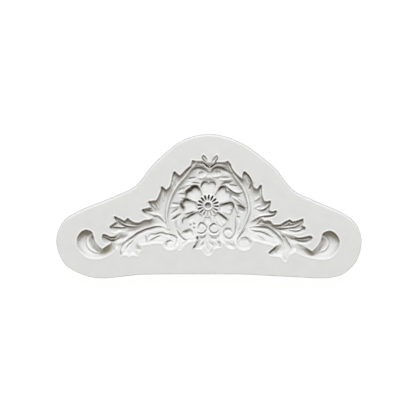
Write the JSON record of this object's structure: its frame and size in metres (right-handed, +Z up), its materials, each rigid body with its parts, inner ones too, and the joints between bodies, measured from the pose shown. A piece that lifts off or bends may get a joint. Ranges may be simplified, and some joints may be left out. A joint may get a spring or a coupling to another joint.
{
  "type": "resin casting mould",
  "caption": "Flat silicone rubber mould with a sunk acanthus and rosette ornament, open at the top, for casting resin, plaster, wax or sugar paste appliques.",
  "frame": {"origin": "centre of the mould's bounding box in plan, on the flat back that it rests on", "axes": "+X along the length, +Y across the width towards the crown, +Z up through the thickness, out of the hollow face"},
  "size_m": [0.15, 0.071, 0.012],
  "materials": {
    "silicone": "satin"
  },
  "bodies": {
    "root": {"back_sheet": "silicone", "rim_wall": "silicone", "rosette_floor": "silicone", "palmette_floor": "silicone", "crown_floor": "silicone", "wreath_floor": "silicone", "right_leaf_floor": "silicone", "left_leaf_floor": "silicone", "right_side_leaf_floor": "silicone", "left_side_leaf_floor": "silicone", "right_scroll_floor": "silicone", "left_scroll_floor": "silicone", "right_hanging_leaf_floor": "silicone", "left_hanging_leaf_floor": "silicone", "right_curl_floor": "silicone", "left_curl_floor": "silicone"}
  },
  "joints": []
}
